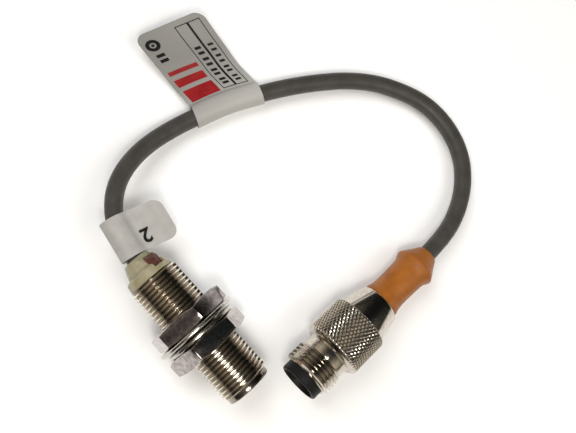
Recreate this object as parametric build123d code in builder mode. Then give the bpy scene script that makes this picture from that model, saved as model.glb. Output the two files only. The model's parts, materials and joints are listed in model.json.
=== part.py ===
# Inductive proximity sensor: an M12 x 1 threaded barrel with two nuts and two lock
# washers, and a short cable that ends in an M12 male connector with a knurled sleeve.
#
# Millimetres, +Z up. The sensor's axis runs along X with the sensing face at +X, and
# the sensor lies on the rim of its larger lock washer. The origin is under its middle.
# The cable leaves the rear cap at -X, lies on the surface in one loose loop towards
# +Y, and comes back to the connector, which lies across the loop with its mouth to -Y.
from build123d import *
from math import asin, cos, degrees, pi, radians, sin, tan
import os

os.makedirs("parts", exist_ok=True)

# ---------------------------------------------------------------- driving dimensions
# M12 x 1 thread, used on the barrel and on the connector
THREAD_R = 6.0
PITCH = 1.0
THREAD_DEPTH = 0.61
CREST = PITCH / 8  # width of the flat on each crest
FIT = 0.05  # radial clearance of every running fit

# Sensor, by its stations along X
SENSOR_LENGTH = 37.8
FRONT = SENSOR_LENGTH / 2
REAR = -SENSOR_LENGTH / 2
BARREL_REAR = -13.4
THREAD_FRONT = 17.6
BAND_R = 5.4  # plain band between the thread and the sensing face
BORE_R = 4.95
CABLE_ENTRY = -16.5  # where the jacket ends inside the rear cap

# Nuts and lock washers
NUT_ACROSS_FLATS = 17.0
NUT_THICK = 4.0
NUT_FACE_R = 8.35  # the chamfer leaves a round face of this radius
NUT_CHAMFER = 20.0  # degrees between the chamfer and the nut's face
NUT_BORE_CHAMFER = 0.5
REAR_NUT_X = -3.2
FRONT_NUT_X = 3.2
REAR_NUT_TURN = 15.0  # degrees from +Y to the first corner
FRONT_NUT_TURN = -10.0
REAR_WASHER_R = 10.0
FRONT_WASHER_R = 8.8
WASHER_RING_R = 7.4  # inner radius of the ring that carries the teeth
WASHER_RING_THICK = 0.84
WASHER_SPACE = 1.0  # the ring and its twisted teeth fill this length
WASHER_EDGE = 0.2
TEETH = 10
TOOTH_WIDTH = 2.6
TOOTH_THICK = 0.5
TOOTH_TWIST = 11.0
AXIS_Z = REAR_WASHER_R  # height of the sensor's axis over the surface

# Cable
CABLE_R = 2.1
CORE_R = 0.45
CORE_OFFSET = 0.8
LYING_Z = 2.4  # height of the cable's middle where it lies on the surface

# Connector, by its stations from the mouth
CONNECTOR_LENGTH = 44.0
CARRIER_R = 4.93
SLEEVE_START = 2.2
SLEEVE_THREAD_END = 7.4
NECK_R = 5.4
SHOULDER = 9.9
KNURL_START = 11.2
KNURL_END = 20.1
KNURL_R = 7.45
KNURL_EDGE = 0.3  # chamfer at the knurl's rear edge
CONE_END = 26.8
WAIST = 32.5
RIDGE = 39.4
RIDGE_R = 5.1
JACKET_END = 39.6  # where the jacket ends inside the boot
PIN_CIRCLE_R = 2.83
PIN_R = 0.5
EXIT_XY = (25.81, 52.12)  # where the cable leaves the boot, seen from above
HEADING = 0.1  # degrees between the connector's axis and Y

# ---------------------------------------------------------------- frames
SENSOR_AXIS = Axis((0, 0, AXIS_Z), (1, 0, 0))
SENSOR_PROFILE = Plane(origin=(0, 0, AXIS_Z), x_dir=(1, 0, 0), z_dir=(0, -1, 0))

# the connector rests on the knurl's rear edge and on the boot's ridge, so its mouth points up
KNURL_REST = KNURL_END - KNURL_EDGE
TILT = degrees(asin((KNURL_R - RIDGE_R) / (RIDGE - KNURL_REST)))
REARWARD = Vector(
    sin(radians(HEADING)) * cos(radians(TILT)),
    cos(radians(HEADING)) * cos(radians(TILT)),
    -sin(radians(TILT)),
)
SIDE = Vector(cos(radians(HEADING)), -sin(radians(HEADING)), 0)
EXIT_Z = KNURL_R * cos(radians(TILT)) - (CONNECTOR_LENGTH - KNURL_REST) * sin(radians(TILT))
EXIT = Vector(*EXIT_XY, EXIT_Z)
MOUTH = EXIT - REARWARD * CONNECTOR_LENGTH
CONNECTOR_AXIS = Axis(MOUTH, REARWARD)
CONNECTOR_PROFILE = Plane(origin=MOUTH, x_dir=REARWARD, z_dir=SIDE)


def sensor_section(x):
    """The plane across the sensor at station x: its own x is +Y and its own y is up."""
    return Plane(origin=(x, 0, AXIS_Z), x_dir=(0, 1, 0), z_dir=(1, 0, 0))


def connector_section(station):
    """The plane across the connector at a station from its mouth, facing the cable."""
    return Plane(origin=MOUTH + REARWARD * station, x_dir=-SIDE, z_dir=REARWARD)


# ---------------------------------------------------------------- shared shapes
def turned(points, plane, axis, mode=Mode.ADD):
    """A turned solid from a closed outline of (station, radius) points."""
    with BuildSketch(plane) as outline:
        with BuildLine():
            Polyline(*points, close=True)
        make_face()
    revolve(outline.sketch, axis=axis, mode=mode)


def tube(plane, length, outer_r, inner_r=0.0, mode=Mode.ADD):
    """A round bar or tube along the plane's normal."""
    with BuildSketch(plane) as outline:
        Circle(outer_r)
        if inner_r:
            Circle(inner_r, mode=Mode.SUBTRACT)
    extrude(outline.sketch, amount=length, mode=mode)


def thread_points(start, end):
    """Outline points of a thread as ring grooves, from start to end."""
    root_r = THREAD_R - THREAD_DEPTH
    slope = (PITCH - CREST) / 2
    points = [(start, root_r)]
    station = start + slope
    while station + CREST + slope <= end + 1e-6:
        points.append((station, THREAD_R))
        points.append((station + CREST, THREAD_R))
        points.append((station + CREST + slope, root_r))
        station += PITCH
    return points


def bent_wire(points, plane, radius):
    """A round wire along a bent line, where bends are rounded to the given radius."""
    with BuildLine() as path:
        FilletPolyline(*[plane.from_local_coords(p) for p in points], radius=radius)
    start = path.line @ 0
    with BuildSketch(Plane(origin=start, z_dir=path.line % 0)) as section:
        Circle(CORE_R)
    sweep(section.sketch, path=path.line)


def finish(piece, name):
    """Label a finished piece and write it."""
    piece.part.label = name
    export_step(piece.part, f"parts/{name}.step")


# ---------------------------------------------------------------- barrel and its front
with BuildPart() as threaded_barrel:
    thread = thread_points(BARREL_REAR, THREAD_FRONT)
    turned(
        [
            (BARREL_REAR, BORE_R),
            *thread,
            (THREAD_FRONT, BAND_R),
            (FRONT - 0.2, BAND_R),
            (FRONT, BAND_R - 0.2),
            (FRONT, BORE_R),
        ],
        SENSOR_PROFILE,
        SENSOR_AXIS,
    )
finish(threaded_barrel, "threaded_barrel")

CAP_R = BORE_R - 0.02
CAP_WALL = 0.45
FACE_THICK = 0.7
CAP_LENGTH = 7.5
with BuildPart() as sensing_face_cap:
    tube(sensor_section(FRONT - CAP_LENGTH), CAP_LENGTH, CAP_R)
    tube(
        sensor_section(FRONT - CAP_LENGTH),
        CAP_LENGTH - FACE_THICK,
        CAP_R - CAP_WALL,
        mode=Mode.SUBTRACT,
    )
finish(sensing_face_cap, "sensing_face_cap")

# pot core: a ferrite disc with a ring groove that opens towards the sensing face
CORE_R_OUT = CAP_R - CAP_WALL - 0.03
CORE_FRONT = FRONT - FACE_THICK - 0.1
CORE_THICK = 3.2
GROOVE_DEPTH = 2.2
GROOVE_R = (1.8, 3.7)
with BuildPart() as ferrite_core:
    tube(sensor_section(CORE_FRONT - CORE_THICK), CORE_THICK, CORE_R_OUT)
    tube(
        sensor_section(CORE_FRONT - GROOVE_DEPTH),
        GROOVE_DEPTH,
        GROOVE_R[1],
        GROOVE_R[0],
        mode=Mode.SUBTRACT,
    )
finish(ferrite_core, "ferrite_core")

BOBBIN_R = (1.9, 2.15)
FLANGE = 0.25
BOBBIN_LENGTH = GROOVE_DEPTH - 0.1
with BuildPart() as coil_bobbin:
    bobbin_rear = CORE_FRONT - GROOVE_DEPTH + 0.05
    tube(sensor_section(bobbin_rear), BOBBIN_LENGTH, BOBBIN_R[1], BOBBIN_R[0])
    for flange_x in (bobbin_rear, bobbin_rear + BOBBIN_LENGTH - FLANGE):
        tube(sensor_section(flange_x), FLANGE, GROOVE_R[1] - 0.1, BOBBIN_R[0])
finish(coil_bobbin, "coil_bobbin")

with BuildPart() as coil_winding:
    tube(
        sensor_section(bobbin_rear + FLANGE),
        BOBBIN_LENGTH - 2 * FLANGE,
        GROOVE_R[1] - 0.25,
        BOBBIN_R[1],
    )
finish(coil_winding, "coil_winding")

BOARD_FRONT = 13.2
SPACER_SLOT = (5.0, 1.6, 1.6)  # lets the coil's wires through to the board
SPACER_FRONT = CORE_FRONT - CORE_THICK
with BuildPart() as core_spacer:
    tube(sensor_section(BOARD_FRONT), SPACER_FRONT - BOARD_FRONT, CORE_R_OUT)
    with Locations(sensor_section(BOARD_FRONT)):
        Box(*SPACER_SLOT, mode=Mode.SUBTRACT)
finish(core_spacer, "core_spacer")

# ---------------------------------------------------------------- electronics
BOARD_REAR = -8.0
BOARD_WIDTH = 8.0
BOARD_THICK = 0.8
BOARD_MID = (BOARD_FRONT + BOARD_REAR) / 2
BOARD_TOP = AXIS_Z + BOARD_THICK / 2
BOARD_UNDER = AXIS_Z - BOARD_THICK / 2
with BuildPart() as circuit_board:
    with Locations((BOARD_MID, 0, AXIS_Z)):
        Box(BOARD_FRONT - BOARD_REAR, BOARD_WIDTH, BOARD_THICK)
finish(circuit_board, "circuit_board")


def chips(places, size, name):
    """Blocks that stand on the board's top, or hang under it where the height is negative."""
    with BuildPart() as group:
        for x, y, height in places:
            z = BOARD_TOP + height / 2 if height > 0 else BOARD_UNDER + height / 2
            with Locations((x, y, z)):
                Box(size[0], size[1], abs(height))
    finish(group, name)


chips([(8.2, 0, 1.4)], (5.0, 4.0), "oscillator_chip")
chips([(0.6, -0.6, 1.2)], (3.6, 3.0), "driver_chip")
chips([(3.0, 1.8, -1.1), (3.0, -1.8, -1.1)], (2.9, 1.5), "switching_transistors")
chips([(4.2, 2.6, 0.9), (4.2, -2.6, 0.9), (9.0, 1.6, -0.9), (9.0, -1.6, -0.9)], (1.6, 0.9), "capacitors")
RESISTOR_ROW = [(x, y, -0.45) for x in (5.6, 6.8, 0.2) for y in (-2.2, 0.0, 2.2)]
chips(RESISTOR_ROW, (0.8, 1.6), "resistors")

# ---------------------------------------------------------------- rear end of the sensor
COLLAR_END = -15.65
COLLAR_R = (5.6, 5.3)  # at the barrel and at the collar's rear edge
SNOUT_R = (4.45, 3.0)  # where the snout begins and where it ends
PLUG_FRONT = -10.4
CAP_CAVITY_R = 3.6
WINDOW_ANGLE = 48.0  # from +Y towards up
WINDOW_WIDTH = 3.2
WINDOW_X = (-14.5, -16.6, -17.7)  # front edge, where its flat top ends, rear edge
WINDOW_R = (3.7, 3.9, 4.6)  # under side, rear edge and flat top
NOTCH_R = 6.5  # the window's notch is open from its top out to here


def window_block(outline):
    """A block across the cap's window from its outline of (station, radius) points."""
    with BuildPart() as block:
        with BuildSketch(SENSOR_PROFILE) as profile:
            with BuildLine():
                Polyline(*outline, close=True)
            make_face()
        extrude(profile.sketch, amount=WINDOW_WIDTH / 2, both=True)
    return block.part.rotate(SENSOR_AXIS, WINDOW_ANGLE - 90)


with BuildPart() as led_window:
    add(
        window_block(
            [
                (WINDOW_X[0], WINDOW_R[0]),
                (WINDOW_X[0], WINDOW_R[2]),
                (WINDOW_X[1], WINDOW_R[2]),
                (WINDOW_X[2], WINDOW_R[1]),
                (WINDOW_X[2], WINDOW_R[0]),
            ]
        )
    )
finish(led_window, "led_window")

RECESS_X = -17.05
RECESS_R = 4.3
RECESS_SIZE = (1.0, 2.4, 2.3)  # out from the axis, across, along X
with BuildPart() as rear_cap:
    turned(
        [
            (PLUG_FRONT, CAP_CAVITY_R),
            (PLUG_FRONT, CAP_R),
            (BARREL_REAR, CAP_R),
            (BARREL_REAR, COLLAR_R[0]),
            (COLLAR_END + 0.4, COLLAR_R[1]),
            (COLLAR_END, COLLAR_R[1] - 0.4),
            (COLLAR_END, SNOUT_R[0]),
            (REAR + 0.4, SNOUT_R[1] + 0.3),
            (REAR, SNOUT_R[1]),
            (REAR, CABLE_R),
            (CABLE_ENTRY, CABLE_R),
            (CABLE_ENTRY, CAP_CAVITY_R - 0.6),
            (CABLE_ENTRY + 0.8, CAP_CAVITY_R),
        ],
        SENSOR_PROFILE,
        SENSOR_AXIS,
    )
    # four flat recesses round the snout, with the window between two of them
    with Locations(sensor_section(RECESS_X)):
        with PolarLocations(radius=RECESS_R, count=4, start_angle=WINDOW_ANGLE + 45):
            Box(*RECESS_SIZE, mode=Mode.SUBTRACT)
    notch_x = [(WINDOW_X[0], WINDOW_R[0]), (WINDOW_X[0], NOTCH_R), (WINDOW_X[2], NOTCH_R)]
    add(window_block([*notch_x, (WINDOW_X[2], WINDOW_R[0])]), mode=Mode.SUBTRACT)
finish(rear_cap, "rear_cap")

LED_X = -14.7
LED_R = 3.1
LED_SIZE = (0.8, 1.5, 1.4)  # out from the axis, across, along X
with BuildPart() as status_led:
    with Locations(sensor_section(LED_X)):
        with PolarLocations(radius=LED_R, count=1, start_angle=WINDOW_ANGLE):
            Box(*LED_SIZE)
finish(status_led, "status_led")

WIRE_PLACES = [(y, z) for y in (-1, 1) for z in (-1, 1)]
WIRE_END = (1.6, 0.9)  # where each core lies against the board: across, and up or down
WIRE_FRONT = -6.6
with BuildPart() as sensor_wires:
    for y, z in WIRE_PLACES:
        stops = [
            (CORE_OFFSET * y, CORE_OFFSET * z, CABLE_ENTRY),
            (CORE_OFFSET * y, CORE_OFFSET * z, CABLE_ENTRY + 2.0),
            (WIRE_END[0] * y, WIRE_END[1] * z, PLUG_FRONT - 0.6),
            (WIRE_END[0] * y, WIRE_END[1] * z, WIRE_FRONT),
        ]
        bent_wire(stops, sensor_section(0), 2.5)
finish(sensor_wires, "sensor_wires")

POTTING_REAR = -10.2
POTTING_FRONT = -3.2
with BuildPart() as potting_compound:
    tube(sensor_section(POTTING_REAR), POTTING_FRONT - POTTING_REAR, CAP_R)
    add(circuit_board.part, mode=Mode.SUBTRACT)
    with Locations(sensor_section(POTTING_REAR)):
        with Locations(*[(WIRE_END[0] * y, WIRE_END[1] * z) for y, z in WIRE_PLACES]):
            Cylinder(
                CORE_R,
                WIRE_FRONT - POTTING_REAR,
                align=(Align.CENTER, Align.CENTER, Align.MIN),
                mode=Mode.SUBTRACT,
            )
finish(potting_compound, "potting_compound")


# ---------------------------------------------------------------- nuts and lock washers
def hex_nut(x, turn, name):
    """A hexagon nut, chamfered on both faces, over the thread with a running clearance."""
    corner_r = NUT_ACROSS_FLATS / 2 / cos(pi / 6)
    chamfer_length = (corner_r - NUT_FACE_R) * tan(radians(NUT_CHAMFER))
    bore_r = THREAD_R + FIT
    with BuildPart() as nut:
        with BuildSketch(sensor_section(x)):
            RegularPolygon(corner_r, 6, rotation=turn)
        extrude(amount=NUT_THICK)
        turned(
            [
                (x, 0),
                (x, NUT_FACE_R),
                (x + chamfer_length, corner_r),
                (x + NUT_THICK - chamfer_length, corner_r),
                (x + NUT_THICK, NUT_FACE_R),
                (x + NUT_THICK, 0),
            ],
            SENSOR_PROFILE,
            SENSOR_AXIS,
            mode=Mode.INTERSECT,
        )
        turned(
            [
                (x, 0),
                (x, bore_r + NUT_BORE_CHAMFER),
                (x + NUT_BORE_CHAMFER, bore_r),
                (x + NUT_THICK - NUT_BORE_CHAMFER, bore_r),
                (x + NUT_THICK, bore_r + NUT_BORE_CHAMFER),
                (x + NUT_THICK, 0),
            ],
            SENSOR_PROFILE,
            SENSOR_AXIS,
            mode=Mode.SUBTRACT,
        )
    finish(nut, name)


def lock_washer(x, rim_r, name):
    """A ring with a smooth rim and twisted inner teeth, in a space from x to x + WASHER_SPACE."""
    middle = x + WASHER_SPACE / 2
    half = WASHER_RING_THICK / 2
    tooth_length = WASHER_RING_R - THREAD_R
    with BuildPart() as washer:
        turned(
            [
                (middle - half, WASHER_RING_R),
                (middle - half, rim_r - WASHER_EDGE),
                (middle - half + WASHER_EDGE, rim_r),
                (middle + half - WASHER_EDGE, rim_r),
                (middle + half, rim_r - WASHER_EDGE),
                (middle + half, WASHER_RING_R),
            ],
            SENSOR_PROFILE,
            SENSOR_AXIS,
        )
        with Locations(sensor_section(middle)):
            with PolarLocations(radius=THREAD_R + tooth_length / 2 + WASHER_EDGE, count=TEETH):
                Box(tooth_length + WASHER_EDGE, TOOTH_WIDTH, TOOTH_THICK, rotation=(TOOTH_TWIST, 0, 0))
        tube(sensor_section(x), WASHER_SPACE, THREAD_R + FIT, mode=Mode.SUBTRACT)
    finish(washer, name)


GAP = 0.02
hex_nut(REAR_NUT_X, REAR_NUT_TURN, "rear_nut")
hex_nut(FRONT_NUT_X, FRONT_NUT_TURN, "front_nut")
lock_washer(REAR_NUT_X + NUT_THICK + GAP, REAR_WASHER_R, "rear_lock_washer")
lock_washer(FRONT_NUT_X - WASHER_SPACE - GAP, FRONT_WASHER_R, "front_lock_washer")

# ---------------------------------------------------------------- cable
# The route: out of the rear cap, down to the surface, round the loop and into the boot.
ROUTE = [
    (CABLE_ENTRY, 0, AXIS_Z),
    (-23.1, 0, AXIS_Z),
    (-30.1, 2.9, 9.3),
    (-35.5, 8.5, 7.6),
    (-38.1, 17.2, 5.0),
    (-37.4, 28.2, LYING_Z),
    (-33.4, 41.9, LYING_Z),
    (-26.5, 56.9, LYING_Z),
    (-16.7, 70.9, LYING_Z),
    (-4.9, 78.2, LYING_Z),
    (4.5, 79.6, LYING_Z),
    (13.6, 77.3, LYING_Z),
    (20.2, 71.9, LYING_Z),
    (24.2, 64.6, 3.2),
    tuple(EXIT + REARWARD * 5.0),
    tuple(MOUTH + REARWARD * JACKET_END),
]


def bend_radii(points):
    """The largest even bend at each corner: 0.45 of the shorter run over tan of half the turn."""
    radii = []
    for before, corner, after in zip(points, points[1:], points[2:]):
        run_in = Vector(corner) - Vector(before)
        run_out = Vector(after) - Vector(corner)
        half_turn = radians(run_in.get_angle(run_out)) / 2
        radii.append(0.45 * min(run_in.length, run_out.length) / tan(half_turn))
    return radii


CABLE_BENDS = bend_radii(ROUTE)
print("cable bend radii:", [round(r, 1) for r in CABLE_BENDS])

with BuildPart() as cable:
    with BuildLine() as cable_route:
        FilletPolyline(*ROUTE, radius=CABLE_BENDS)
    with BuildSketch(Plane(origin=cable_route.line @ 0, z_dir=cable_route.line % 0)):
        Circle(CABLE_R)
    sweep(path=cable_route.line)
CABLE_LENGTH = sum(edge.length for edge in cable_route.edges())
print("cable length:", round(CABLE_LENGTH, 2), "of runs:", len(ROUTE) - 1)
print("cable volume over section times length:", cable.part.volume / (pi * CABLE_R**2 * CABLE_LENGTH))
finish(cable, "cable")

# ---------------------------------------------------------------- labels on the cable
LABEL_THICK = 0.3
LABEL_R = CABLE_R + 0.15
LABEL_CORNER_R = 2.4  # round corners of a flag's free end


def flag_label(start, end, flag, name):
    """A label wrapped round the cable from start to end, with its two ends joined as a flag."""
    along = Vector(*end) - Vector(*start)
    with BuildPart() as label:
        tube(Plane(origin=start, z_dir=along), along.length, LABEL_R, CABLE_R)
        corners = [Vector(*start), Vector(*end), Vector(*end) + Vector(*flag), Vector(*start) + Vector(*flag)]
        level = Plane(origin=(0, 0, start[2] - LABEL_THICK / 2))
        with BuildSketch(level) as sheet:
            with BuildLine():
                Polyline(*[(c.X, c.Y) for c in corners], close=True)
            make_face()
            far = sheet.vertices().sort_by_distance(tuple(Vector(*start) - Vector(*flag)))[2:]
            fillet(far, radius=LABEL_CORNER_R)
        extrude(amount=LABEL_THICK)
        tube(Plane(origin=start, z_dir=along), along.length, CABLE_R, mode=Mode.SUBTRACT)
    finish(label, name)


flag_label((-19.5, 0.1, AXIS_Z - 0.1), (-29.2, 1.9, AXIS_Z - 0.1), (2.9, 11.0, 0), "marker_label")
flag_label((-36.2, 32.6, LYING_Z), (-30.5, 48.7, LYING_Z), (-24.0, 1.5, 0), "type_label")

# ---------------------------------------------------------------- connector
# knurled sleeve: its own male thread, neck, knurl and rear cone in one turned piece
SLEEVE_BORE_R = CARRIER_R + FIT
BORE_STEP = 20.8  # the bore narrows here, under the cone
CONE_BORE_R = 4.6
CONE_R = (6.6, 5.15)  # where the cone begins and where it ends
SHOULDER_R = (6.2, 6.8)
CLIP_X = (15.15, 15.85)
CLIP_GROOVE = (15.0, 16.0)
CLIP_GROOVE_R = 5.45
with BuildPart() as coupling_nut:
    turned(
        [
            (SLEEVE_START, SLEEVE_BORE_R),
            *thread_points(SLEEVE_START, SLEEVE_THREAD_END),
            (SLEEVE_THREAD_END, NECK_R),
            (SHOULDER, NECK_R),
            (SHOULDER, SHOULDER_R[0]),
            (SHOULDER + 0.4, SHOULDER_R[1]),
            (KNURL_START, KNURL_R),
            (KNURL_REST, KNURL_R),
            (KNURL_END, KNURL_R - KNURL_EDGE),
            (KNURL_END, CONE_R[0]),
            (CONE_END, CONE_R[1]),
            (CONE_END, CONE_BORE_R),
            (BORE_STEP, CONE_BORE_R),
            (BORE_STEP, SLEEVE_BORE_R),
            (CLIP_GROOVE[1], SLEEVE_BORE_R),
            (CLIP_GROOVE[1], CLIP_GROOVE_R),
            (CLIP_GROOVE[0], CLIP_GROOVE_R),
            (CLIP_GROOVE[0], SLEEVE_BORE_R),
        ],
        CONNECTOR_PROFILE,
        CONNECTOR_AXIS,
    )
finish(coupling_nut, "coupling_nut")

# contact carrier: a shroud round the contacts, a floor that holds them, and a coding key
SHROUD_R = 4.2
SHROUD_DEPTH = 7.0
CARRIER_LENGTH = 13.0
SEAL_R = 0.43
SEAL_STATION = 9.6
SEAL_GROOVE = (0.55, CARRIER_R - 2 * SEAL_R - 0.02)  # half its width, and its floor's radius
KEY_START = 0.6
KEY_SIZE = (1.2, 1.0)
PIN_ANGLES = (45, 135, 225, 315)
PIN_TIP = 1.4
with BuildPart() as contact_pins:
    for angle in PIN_ANGLES:
        place = (PIN_CIRCLE_R * cos(radians(angle)), PIN_CIRCLE_R * sin(radians(angle)))
        with BuildSketch(connector_section(PIN_TIP)) as pin_section:
            with Locations(place):
                Circle(PIN_R)
        extrude(pin_section.sketch, amount=CARRIER_LENGTH - PIN_TIP)
    tips = contact_pins.edges().filter_by(GeomType.CIRCLE).group_by(CONNECTOR_AXIS)[0]
    chamfer(tips, length=PIN_R * 0.6)
finish(contact_pins, "contact_pins")

with BuildPart() as contact_carrier:
    turned(
        [
            (0, SHROUD_R),
            (0, CARRIER_R - 0.25),
            (0.25, CARRIER_R),
            (SEAL_STATION - SEAL_GROOVE[0], CARRIER_R),
            (SEAL_STATION - SEAL_GROOVE[0], SEAL_GROOVE[1]),
            (SEAL_STATION + SEAL_GROOVE[0], SEAL_GROOVE[1]),
            (SEAL_STATION + SEAL_GROOVE[0], CARRIER_R),
            (CARRIER_LENGTH, CARRIER_R),
            (CARRIER_LENGTH, 0),
            (SHROUD_DEPTH, 0),
            (SHROUD_DEPTH, SHROUD_R),
        ],
        CONNECTOR_PROFILE,
        CONNECTOR_AXIS,
    )
    with BuildSketch(connector_section(KEY_START)) as key:
        with Locations((0, SHROUD_R)):
            Rectangle(*KEY_SIZE)
    extrude(key.sketch, amount=SHROUD_DEPTH - KEY_START)
    add(contact_pins.part, mode=Mode.SUBTRACT)
finish(contact_carrier, "contact_carrier")

with BuildPart() as carrier_seal:
    with BuildSketch(CONNECTOR_PROFILE) as seal_section:
        with Locations((SEAL_STATION, CARRIER_R - SEAL_R)):
            Circle(SEAL_R)
    revolve(seal_section.sketch, axis=CONNECTOR_AXIS)
finish(carrier_seal, "carrier_seal")

MOULD_R = 4.9
MOULD_END = 18.4
CLIP_R = (4.52, 5.36)
CLIP_GAP = 2.4
with BuildPart() as retaining_clip:
    tube(connector_section(CLIP_X[0]), CLIP_X[1] - CLIP_X[0], CLIP_R[1], CLIP_R[0])
    with Locations(connector_section((CLIP_X[0] + CLIP_X[1]) / 2)):
        with Locations((0, CLIP_R[1])):
            Box(CLIP_GAP, 3.0, 2.0, mode=Mode.SUBTRACT)
finish(retaining_clip, "retaining_clip")

with BuildPart() as inner_mould:
    turned(
        [
            (CARRIER_LENGTH, 0),
            (CARRIER_LENGTH, MOULD_R),
            (CLIP_X[0] - 0.05, MOULD_R),
            (CLIP_X[0] - 0.05, CLIP_R[0] - 0.02),
            (CLIP_X[1] + 0.05, CLIP_R[0] - 0.02),
            (CLIP_X[1] + 0.05, MOULD_R),
            (MOULD_END, MOULD_R),
            (MOULD_END, 0),
        ],
        CONNECTOR_PROFILE,
        CONNECTOR_AXIS,
    )
    with BuildSketch(connector_section(CARRIER_LENGTH)) as channels:
        with PolarLocations(PIN_CIRCLE_R, 4, start_angle=45):
            Circle(CORE_R)
    extrude(channels.sketch, amount=MOULD_END - CARRIER_LENGTH, mode=Mode.SUBTRACT)
finish(inner_mould, "inner_mould")

with BuildPart() as connector_wires:
    for angle in PIN_ANGLES:
        across, up = cos(radians(angle)), sin(radians(angle))
        core_r = CORE_OFFSET * 2**0.5
        stops = [
            (PIN_CIRCLE_R * across, PIN_CIRCLE_R * up, CARRIER_LENGTH),
            (PIN_CIRCLE_R * across, PIN_CIRCLE_R * up, MOULD_END + 2.0),
            (core_r * across, core_r * up, JACKET_END - 10.0),
            (core_r * across, core_r * up, JACKET_END),
        ]
        bent_wire(stops, connector_section(0), 6.0)
finish(connector_wires, "connector_wires")

CRIMP_R = (CABLE_R + 0.02, 2.55)
CRIMP_END = 42.0
with BuildPart() as crimp_sleeve:
    tube(connector_section(JACKET_END + 0.1), CRIMP_END - JACKET_END - 0.1, CRIMP_R[1], CRIMP_R[0])
finish(crimp_sleeve, "crimp_sleeve")

BOOT_NECK_R = CONE_BORE_R - 0.08
BOOT_CAVITY_R = 3.4
BOOT_START = CONE_END + 0.3  # where the boot swells to the cone's rear edge
BOOT_START_R = 4.7
WAIST_R = 4.17
RIDGE_FOOT = (RIDGE - 2.0, 4.4)
BOOT_TAIL_R = 2.8
with BuildPart() as boot:
    with BuildSketch(CONNECTOR_PROFILE) as boot_outline:
        with BuildLine():
            Polyline(
                (MOULD_END, BOOT_CAVITY_R),
                (MOULD_END, BOOT_NECK_R),
                (BOOT_START, BOOT_NECK_R),
                (BOOT_START, BOOT_START_R),
            )
            Spline(
                (BOOT_START, BOOT_START_R),
                (WAIST, WAIST_R),
                RIDGE_FOOT,
                tangents=((1, -0.12), (1, 0.22)),
            )
            Spline(
                RIDGE_FOOT,
                (RIDGE, RIDGE_R),
                (RIDGE + 2.3, 4.0),
                (CONNECTOR_LENGTH - 0.5, BOOT_TAIL_R),
                tangents=((1, 0.22), (1, -0.25)),
            )
            Polyline(
                (CONNECTOR_LENGTH - 0.5, BOOT_TAIL_R),
                (CONNECTOR_LENGTH, BOOT_TAIL_R - 0.25),
                (CONNECTOR_LENGTH, CABLE_R),
                (CRIMP_END, CABLE_R),
                (CRIMP_END, CRIMP_R[1]),
                (JACKET_END, CRIMP_R[1]),
                (JACKET_END - 3.0, BOOT_CAVITY_R - 0.6),
                (JACKET_END - 8.0, BOOT_CAVITY_R),
                (MOULD_END, BOOT_CAVITY_R),
            )
        make_face()
    revolve(boot_outline.sketch, axis=CONNECTOR_AXIS)
finish(boot, "boot")

print("connector mouth:", MOUTH, "axis:", -REARWARD, "tilt:", round(TILT, 3))
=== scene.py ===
# The looks of the proximity sensor and its plug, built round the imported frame.
# Shapes are worked out in millimetres in the row's frame and written in metres.
import json
from math import acos, cos, pi, radians, sin

import bmesh
import bpy
from mathutils import Matrix, Vector


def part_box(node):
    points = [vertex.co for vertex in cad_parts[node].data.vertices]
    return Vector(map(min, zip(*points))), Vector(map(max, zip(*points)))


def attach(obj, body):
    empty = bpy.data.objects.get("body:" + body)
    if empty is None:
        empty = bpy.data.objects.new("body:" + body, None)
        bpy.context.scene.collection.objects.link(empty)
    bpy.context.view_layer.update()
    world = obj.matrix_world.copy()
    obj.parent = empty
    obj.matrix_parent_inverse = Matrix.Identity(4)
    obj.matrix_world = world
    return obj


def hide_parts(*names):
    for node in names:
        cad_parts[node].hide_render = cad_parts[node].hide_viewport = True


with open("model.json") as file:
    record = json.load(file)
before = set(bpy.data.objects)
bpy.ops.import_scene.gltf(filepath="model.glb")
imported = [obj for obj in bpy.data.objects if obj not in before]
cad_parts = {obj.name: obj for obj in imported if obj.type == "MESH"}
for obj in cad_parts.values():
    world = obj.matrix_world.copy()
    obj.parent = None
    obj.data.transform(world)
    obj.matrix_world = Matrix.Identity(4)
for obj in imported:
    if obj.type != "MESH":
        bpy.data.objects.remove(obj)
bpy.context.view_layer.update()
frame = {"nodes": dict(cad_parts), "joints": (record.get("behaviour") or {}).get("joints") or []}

MM = 0.001
JOINTS = {joint["name"]: joint for joint in frame["joints"]}

# ---------------------------------------------------------------- driving dimensions, mm
THREAD_R = 6.0
PITCH = 1.0
THREAD_DEPTH = 0.61
ROOT_R = THREAD_R - THREAD_DEPTH
AXIS_Z = JOINTS["rear_nut_turn"]["pos_m"][2] / MM  # height of the sensor's axis
BARREL_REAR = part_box("threaded_barrel")[0].x / MM
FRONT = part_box("threaded_barrel")[1].x / MM
THREAD_FRONT = FRONT - 1.3
BAND_R = 5.4  # plain band between the thread and the sensing face
BORE_R = 4.95
CABLE_R = 2.1

# stations along the connector, from its mouth
SLEEVE_START = 2.2
SLEEVE_THREAD_END = 7.4
SLEEVE_BORE_R = 4.98
NECK_R = 5.4
SHOULDER = 9.9
SHOULDER_R = 6.1
KNURL_START = 11.2
KNURL_END = 20.1
KNURL_R = 7.45
BORE_STEP = KNURL_END + 0.6  # where the sleeve's bore narrows to the cone's
CONE_END = 26.8
CONE_R = (6.6, 5.15)
CONE_BORE_R = 4.6
WAIST = 32.5
RIDGE = 39.4
JACKET_END = 39.6
CRIMP_END = 42.0
CRIMP_R = 2.55
CONNECTOR_LENGTH = 44.0
BOOT_REAR = 18.6  # where the boot's neck ends inside the sleeve
BOOT_NECK_R = CONE_BORE_R - 0.08
BOOT_START_R = 4.7
WAIST_R = 4.17
RIDGE_R = 5.1
BOOT_TAPER_R = 3.8
BOOT_TAIL_R = 2.9
BOOT_CAVITY_R = 3.4
BOOT_CAVITY_END = JACKET_END - 8.0

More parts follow.
